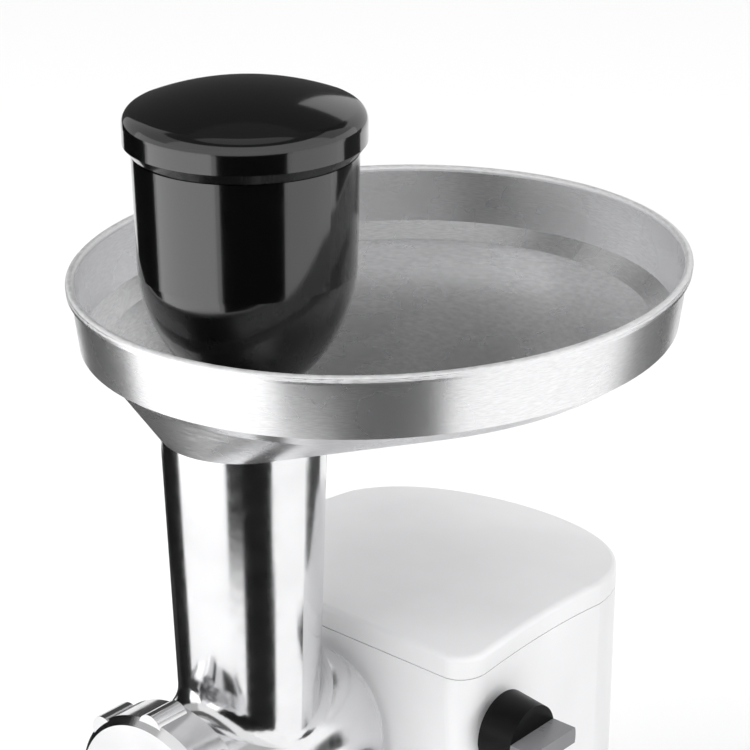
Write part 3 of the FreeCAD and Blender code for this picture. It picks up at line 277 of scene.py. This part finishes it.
# Cast metal
CAST_DRIFT = 25 * MM
CAST_PATCH = 5 * MM
CAST_WAVE = 18 * MM
CAST_WAVE_DEPTH = 0.015 * MM
CAST_DARK = 0.93
CAST_LIGHT = 1.04
CAST_GLOSS_CHANGE = 0.2


def cast(name, colour, rough, grain, depth):
    """Polished casting: slow waves from hand polishing under fine pores."""
    finish = Finish(name, colour, rough, metal=1.0)
    finish.tint(finish.noise(CAST_DRIFT), CAST_DARK, CAST_LIGHT)
    finish.sheen_spread(finish.noise(CAST_PATCH), rough * CAST_GLOSS_CHANGE)
    finish.relief(finish.noise(CAST_WAVE), CAST_WAVE_DEPTH)
    finish.relief(finish.noise(grain), depth)
    return finish


CAST = {
    "head_metal": dict(colour=(0.80, 0.80, 0.81), rough=0.15, grain=0.8 * MM, depth=0.0006 * MM),
    "screw_metal": dict(colour=(0.66, 0.66, 0.67), rough=0.3, grain=0.5 * MM, depth=0.02 * MM),
    "bronze": dict(colour=(0.60, 0.42, 0.22), rough=0.35, grain=0.4 * MM, depth=0.015 * MM),
}


# Metal in layers
def layered(name, colour, rough, spacing, darker, lighter, patch, change, depth):
    """Layers along the motor's axis: sheets of iron seen edge on, or lacquered wire wound close."""
    finish = Finish(name, colour, rough, metal=1.0)
    layers = finish.bands(spacing, "Y")
    finish.tint(layers, darker, lighter)
    finish.sheen_spread(finish.noise(patch), change)
    finish.relief(layers, depth)
    return finish


LAYERED = {
    "motor_iron": dict(colour=(0.20, 0.20, 0.21), rough=0.5, spacing=0.6 * MM, darker=0.7, lighter=1.2,
                       patch=4 * MM, change=0.1, depth=0.05 * MM),
    "copper": dict(colour=(0.72, 0.33, 0.17), rough=0.3, spacing=0.7 * MM, darker=0.6, lighter=1.1,
                   patch=3 * MM, change=0.08, depth=0.15 * MM),
}

# Spun metal of the tray
TRAY_CENTRE = (0.0, 1.49 * MM)
TRAY_SQUEEZE = RIM_HALF[0] / RIM_HALF[1]
TRAY_COLOUR = (0.85, 0.85, 0.86)


def tray_metal():
    """Spun aluminium: rings left by the spinning tool, short dashes and a slow drift of gloss."""
    finish = Finish("tray_metal", TRAY_COLOUR, rough=0.28, metal=0.91)
    rings = finish.noise(grain=0.35 * MM, vector=finish.ringed(TRAY_CENTRE, TRAY_SQUEEZE), detail=4.0)
    dashes = finish.noise(grain=0.5 * MM, vector=finish.stretched((7.0, 7.0, 0.6)))
    finish.tint(dashes, darker=0.86, lighter=1.05)
    finish.sheen_spread(finish.noise(grain=30 * MM), change=0.03)
    finish.relief(rings, depth=0.0012 * MM)
    finish.relief(dashes, depth=0.003 * MM)
    return finish


finishes = {"tray_metal": tray_metal()}
for make, looks in ((moulded, MOULDED), (brushed, BRUSHED), (cast, CAST), (layered, LAYERED)):
    for name, look in looks.items():
        finishes[name] = make(name, **look)


def add_head_streaks():
    """Upright streaks left by polishing the tube."""
    finish = finishes["head_metal"]
    streaks = finish.noise(grain=0.6 * MM, vector=finish.stretched((1.0, 1.0, 30.0)))
    finish.relief(streaks, depth=0.001 * MM)


# Shine of single finishes: a clear skin on the black, little shine on the knob, bloom on the rubber
add_head_streaks()
finishes["gloss_black"].set("Specular IOR Level", 0.8)
finishes["gloss_black"].set("Coat Weight", 0.5)
finishes["gloss_black"].set("Coat Roughness", 0.05)
finishes["knob_black"].set("Specular IOR Level", 0.16)
finishes["foot_rubber"].set("Sheen Weight", 0.15)

# Rolled edge of the tray, along its oval rim
RIM_ROLL = 1.7 * MM
RIM_INSET = 0.1 * MM
RIM_PROUD = 0.9 * MM
RIM_POINTS = 96
RIM_ROUNDNESS = 5
RIM_CURVE_ORDER = 4


def add_rim_roll():
    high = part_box("hopper_tray")[1][2]
    data = bpy.data.curves.new("tray_rim_roll", "CURVE")
    data.dimensions = "3D"
    data.bevel_depth = RIM_ROLL
    data.bevel_resolution = RIM_ROUNDNESS
    spline = data.splines.new("NURBS")
    spline.points.add(RIM_POINTS - 1)
    for index, point in enumerate(spline.points):
        angle = math.tau * index / RIM_POINTS
        x = (RIM_HALF[0] - RIM_INSET) * math.cos(angle)
        y = (RIM_HALF[1] - RIM_INSET) * math.sin(angle) + RIM_CENTRE_BEHIND
        turned = Vector((x * math.cos(RIM_TURN) - y * math.sin(RIM_TURN),
                         x * math.sin(RIM_TURN) + y * math.cos(RIM_TURN),
                         high + RIM_PROUD - RIM_ROLL))
        point.co = (*(turned + TUBE_AXIS), 1.0)
    spline.use_cyclic_u = True
    spline.order_u = RIM_CURVE_ORDER
    roll = bpy.data.objects.new("tray_rim_roll", data)
    bpy.context.scene.collection.objects.link(roll)
    data.materials.append(finishes["rim_metal"].material)
    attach(roll, "tray")


add_rim_roll()

# Every node takes the finish of its slot, apart from those with one of their own
OWN_FINISH = {"control_knob": "knob_black"}

for row in frame["record"]["subparts"]:
    piece = nodes[row["node"]]
    finish = finishes[OWN_FINISH.get(row["node"], row["material_slot"])]
    for slot in piece.material_slots:
        slot.material = finish.material


def add_spring_coil():
    coil = bpy.data.objects.new("button_spring_coil", nodes["button_spring"].data.copy())
    bpy.context.scene.collection.objects.link(coil)
    coil.data.materials.clear()
    coil.data.materials.append(finishes["fastener_steel"].material)
    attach(coil, "housing")
    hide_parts("button_spring")
    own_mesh(coil)


add_spring_coil()

# Stage: floor, light and the cards that show in shiny surfaces
FLOOR_HALF = 60.0
FLOOR_COLOUR = (0.92, 0.92, 0.92)
FLOOR_ROUGH = 0.8
FLOOR_PATCH = 200 * MM
FLOOR_GLOSS_CHANGE = 0.05
WORLD_STRENGTH = 1.0
CARD_COLOUR = (0.01, 0.01, 0.01)
CARD_ROUGH = 1.0
CARD_STEPS = 24

# Distances of the cards from the feed tube, and their heights
CARD_NEAR = 0.42
CARD_MIDDLE = 0.55
CARD_FAR = 1.2
CARD_OUTER = 1.6
CARD_TOP = 0.36
BACK_LOW = 0.2
BACK_MIDDLE = 1.15
BACK_TOP = 1.9
HIGH_LOW = 0.9
CEILING_HEIGHT = 2.2
CEILING_LIGHT_EDGE = 0.8
MAT_HEIGHT = 1 * MM
MAT_INNER = 0.04


def flat_mesh(name, corners, faces):
    mesh = bpy.data.meshes.new(name)
    mesh.from_pydata(corners, [], faces)
    item = bpy.data.objects.new(name, mesh)
    bpy.context.scene.collection.objects.link(item)
    return item


def add_floor():
    half = FLOOR_HALF
    corners = [(-half, -half, 0.0), (half, -half, 0.0), (half, half, 0.0), (-half, half, 0.0)]
    floor = flat_mesh("floor", corners, [(0, 1, 2, 3)])
    finish = Finish("floor", FLOOR_COLOUR, FLOOR_ROUGH)
    finish.sheen_spread(finish.noise(FLOOR_PATCH), FLOOR_GLOSS_CHANGE)
    floor.data.materials.append(finish.material)


def strip(name, start, end, edges, glow):
    """Glowing strip, bent round the feed tube, that only shiny surfaces see.

    It runs between two azimuths, in degrees from the camera's. Each edge has a radius and a height.
    """
    first = CAMERA_AZIMUTH + start
    last = CAMERA_AZIMUTH + end
    corners = []
    for index in range(CARD_STEPS + 1):
        along = heading(first + (last - first) * index / CARD_STEPS)
        for radius, height in edges:
            spot = TUBE_AXIS + along * radius
            corners.append((spot.x, spot.y, height))
    faces = [(2 * i, 2 * i + 2, 2 * i + 3, 2 * i + 1) for i in range(CARD_STEPS)]
    item = flat_mesh(name, corners, faces)
    finish = Finish(name, CARD_COLOUR, CARD_ROUGH)
    finish.set("Emission Color", opaque(WHITE))
    finish.set("Emission Strength", glow)
    finish.set("Specular IOR Level", 0.0)
    item.data.materials.append(finish.material)
    item.visible_camera = False
    item.visible_diffuse = False
    item.visible_shadow = False
    item.visible_transmission = False


def card(name, start, end, radius, low, high, glow):
    """Upright strip."""
    strip(name, start, end, ((radius, low), (radius, high)), glow)


def mat(name, start, end, inner, outer, height, glow):
    """Level strip, a sector of a ring."""
    strip(name, start, end, ((inner, height), (outer, height)), glow)


def lamp(name, azimuth, elevation, distance, width, height, power):
    """Soft rectangular light that faces the grinder, at an azimuth in degrees from the camera's.

    The cards stand in for it in shiny surfaces.
    """
    data = bpy.data.lights.new(name, "AREA")
    data.shape = "RECTANGLE"
    data.size = width
    data.size_y = height
    data.energy = power
    item = bpy.data.objects.new(name, data)
    item.visible_camera = False
    item.visible_glossy = False
    set_facing(item, CAMERA_AZIMUTH + azimuth, elevation, distance)


def add_world():
    world = bpy.data.worlds.new("studio")
    world.use_nodes = True
    background = world.node_tree.nodes["Background"]
    background.inputs["Color"].default_value = opaque(WHITE)
    background.inputs["Strength"].default_value = WORLD_STRENGTH
    bpy.context.scene.world = world


add_floor()
add_world()
bpy.context.scene.view_settings.view_transform = "Standard"
lamp("key", azimuth=-55, elevation=50, distance=1.6, width=1.2, height=1.2, power=11)
lamp("fill", azimuth=75, elevation=35, distance=1.6, width=1.0, height=1.0, power=3.5)

# Bright and dark cards round the front and sides
card("card_left", start=-96, end=-27, radius=CARD_MIDDLE, low=0.0, high=CARD_TOP, glow=1.8)
card("card_right", start=45, end=100, radius=CARD_MIDDLE, low=0.0, high=CARD_TOP, glow=1.15)
card("card_dark_front", start=-22, end=40, radius=CARD_NEAR, low=0.0, high=CARD_TOP, glow=0.0)
card("card_dark_left", start=-146, end=-98, radius=CARD_NEAR, low=0.0, high=CARD_TOP, glow=0.0)
card("card_dark_right", start=102, end=132, radius=CARD_NEAR, low=0.0, high=CARD_TOP, glow=0.06)

# Cards behind, and the high ones all round
card("card_back_right", start=125, end=171, radius=CARD_FAR, low=BACK_LOW, high=BACK_MIDDLE, glow=0.62)
card("card_high_right", start=125, end=171, radius=CARD_FAR, low=BACK_MIDDLE, high=BACK_TOP, glow=0.06)
card("card_back", start=171, end=212, radius=CARD_FAR, low=BACK_LOW, high=BACK_TOP, glow=0.06)
card("card_back_left", start=212, end=245, radius=CARD_FAR, low=BACK_LOW, high=BACK_MIDDLE, glow=0.5)
card("card_high_front", start=-75, end=90, radius=CARD_OUTER, low=HIGH_LOW, high=CEILING_HEIGHT, glow=0.95)
card("card_high_round", start=90, end=285, radius=CARD_OUTER, low=HIGH_LOW, high=CEILING_HEIGHT, glow=0.5)

# Mats on the floor, and the ceiling
mat("mat_front", start=-1, end=44, inner=MAT_INNER, outer=CARD_NEAR, height=MAT_HEIGHT, glow=0.0)
mat("mat_left", start=-134, end=-97, inner=MAT_INNER, outer=CARD_NEAR, height=MAT_HEIGHT, glow=0.0)
mat("mat_behind", start=-190, end=-134, inner=0.16, outer=0.6, height=MAT_HEIGHT, glow=0.03)
mat("mat_right", start=102, end=132, inner=MAT_INNER, outer=CARD_NEAR, height=MAT_HEIGHT, glow=0.06)
mat("ceiling", start=0, end=360, inner=CEILING_LIGHT_EDGE, outer=CARD_OUTER, height=CEILING_HEIGHT, glow=0.1)
mat("ceiling_light", start=0, end=360, inner=0.0, outer=CEILING_LIGHT_EDGE, height=CEILING_HEIGHT, glow=0.4)
